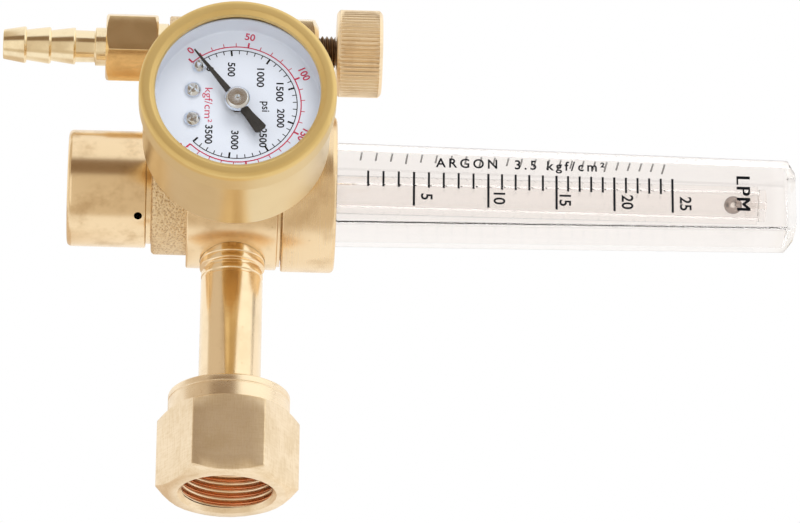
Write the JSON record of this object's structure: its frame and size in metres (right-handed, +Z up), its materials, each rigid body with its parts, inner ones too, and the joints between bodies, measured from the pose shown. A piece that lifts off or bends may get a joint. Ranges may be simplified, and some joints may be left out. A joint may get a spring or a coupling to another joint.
{
  "type": "argon flowmeter regulator",
  "caption": "Pre-set brass gas regulator with an inlet nut and nipple, a round pressure gauge, a clear flow tube with a ball, a needle valve and a hose barb.",
  "frame": {"origin": "centre of the inlet nut's mouth, where the cylinder valve's outlet enters", "axes": "+X out of the mouth towards the cylinder valve, +Z up the flow tube, gauge facing -Y"},
  "size_m": [0.1177, 0.0689, 0.1771],
  "materials": {
    "turned_brass": "turned, clean, lightly brushed",
    "forged_brass": "turned brass body with a stippled as-forged flange",
    "gauge_gold": "satin gold lacquer on pressed steel",
    "dark_brass": "tarnished thread",
    "steel": "plain steel",
    "dial_white": "printed white enamel",
    "pointer_black": "black paint",
    "clear_glass": "clear",
    "clear_plastic": "clear moulded plastic",
    "rubber": "black",
    "white_seal": "white sealing plastic",
    "sintered_bronze": "sintered, porous"
  },
  "bodies": {
    "regulator": {"regulator_body": "forged_brass", "passage_plug": "turned_brass", "bonnet_cap": "turned_brass", "regulating_spring": "steel", "diaphragm": "rubber", "seat_nozzle": "turned_brass", "poppet_spring": "steel", "inlet_nipple": "turned_brass", "inlet_filter": "sintered_bronze", "inlet_washer": "white_seal", "gauge_case": "gauge_gold", "gauge_bezel": "gauge_gold", "gauge_glass": "clear_glass", "gauge_dial": "dial_white", "dial_screw_1": "steel", "dial_screw_2": "steel", "stop_pin": "steel", "gauge_stem": "turned_brass", "bourdon_tube": "turned_brass", "movement_back_plate": "turned_brass", "movement_front_plate": "turned_brass", "tube_collar": "turned_brass", "flow_tube_cover": "clear_plastic", "cover_o_ring": "rubber", "metering_tube": "clear_plastic", "tube_stop": "clear_plastic", "gland_nut": "turned_brass", "stem_seal": "rubber", "hose_barb": "turned_brass"},
    "spring_seat": {"spring_button": "steel"},
    "adjuster": {"adjusting_plug": "turned_brass"},
    "poppet_set": {"poppet": "steel", "diaphragm_plate": "steel"},
    "union_nut": {"inlet_nut": "turned_brass"},
    "pointer_set": {"pointer": "pointer_black", "pointer_hub": "steel", "pointer_shaft": "turned_brass"},
    "sector": {"sector_gear": "turned_brass"},
    "link": {"gauge_link": "steel"},
    "ball": {"flow_ball": "steel"},
    "needle": {"needle_stem": "dark_brass"},
    "valve_knob": {"knob": "turned_brass"}
  },
  "joints": [
    {"name": "spring_seat_slide", "type": "slide", "parent": "regulator", "child": "spring_seat", "axis": [0, 0, 1], "range_m": [0, 0.002]},
    {"name": "adjuster_turn", "type": "hinge", "parent": "spring_seat", "child": "adjuster", "pos_m": [-0.0726, 0, -0.035], "axis": [0, 0, 1], "range_deg": [0, 720]},
    {"name": "poppet_slide", "type": "slide", "parent": "regulator", "child": "poppet_set", "axis": [0, 0, 1], "range_m": [-0.0008, 0], "deforming": ["regulating_spring", "poppet_spring", "diaphragm"]},
    {"name": "inlet_nut_turn", "type": "hinge", "parent": "regulator", "child": "union_nut", "pos_m": [-0.012, 0, 0], "axis": [1, 0, 0], "continuous": true},
    {"name": "pointer_turn", "type": "hinge", "parent": "regulator", "child": "pointer_set", "pos_m": [-0.0726, -0.045, 0], "axis": [0, 1, 0], "range_deg": [0, 263]},
    {"name": "sector_turn", "type": "hinge", "parent": "regulator", "child": "sector", "pos_m": [-0.0726, -0.035, 0.01], "axis": [0, 1, 0], "range_deg": [-37.57, 0], "stiffness_Nm_per_rad": 0.001, "springref_deg": 5.73},
    {"name": "link_turn", "type": "hinge", "parent": "sector", "child": "link", "pos_m": [-0.0696, -0.035, 0.012], "axis": [0, 1, 0], "range_deg": [0, 37.6]},
    {"name": "ball_slide", "type": "slide", "parent": "regulator", "child": "ball", "axis": [0, 0, 1], "range_m": [-0.094, 0]},
    {"name": "needle_slide", "type": "slide", "parent": "regulator", "child": "needle", "axis": [0, 0, 1], "range_m": [0, 0.002]},
    {"name": "knob_turn", "type": "hinge", "parent": "needle", "child": "valve_knob", "pos_m": [-0.1079, 0, 0.0274], "axis": [0, 0, 1], "range_deg": [0, 720]}
  ],
  "couplings": [
    {"joint": "adjuster_turn", "follows": "spring_seat_slide", "rad_per_m": 6283.2},
    {"joint": "knob_turn", "follows": "needle_slide", "rad_per_m": 6283.2},
    {"joint": "pointer_turn", "follows": "sector_turn", "ratio": -7},
    {"joint": "link_turn", "follows": "sector_turn", "ratio": -1}
  ]
}
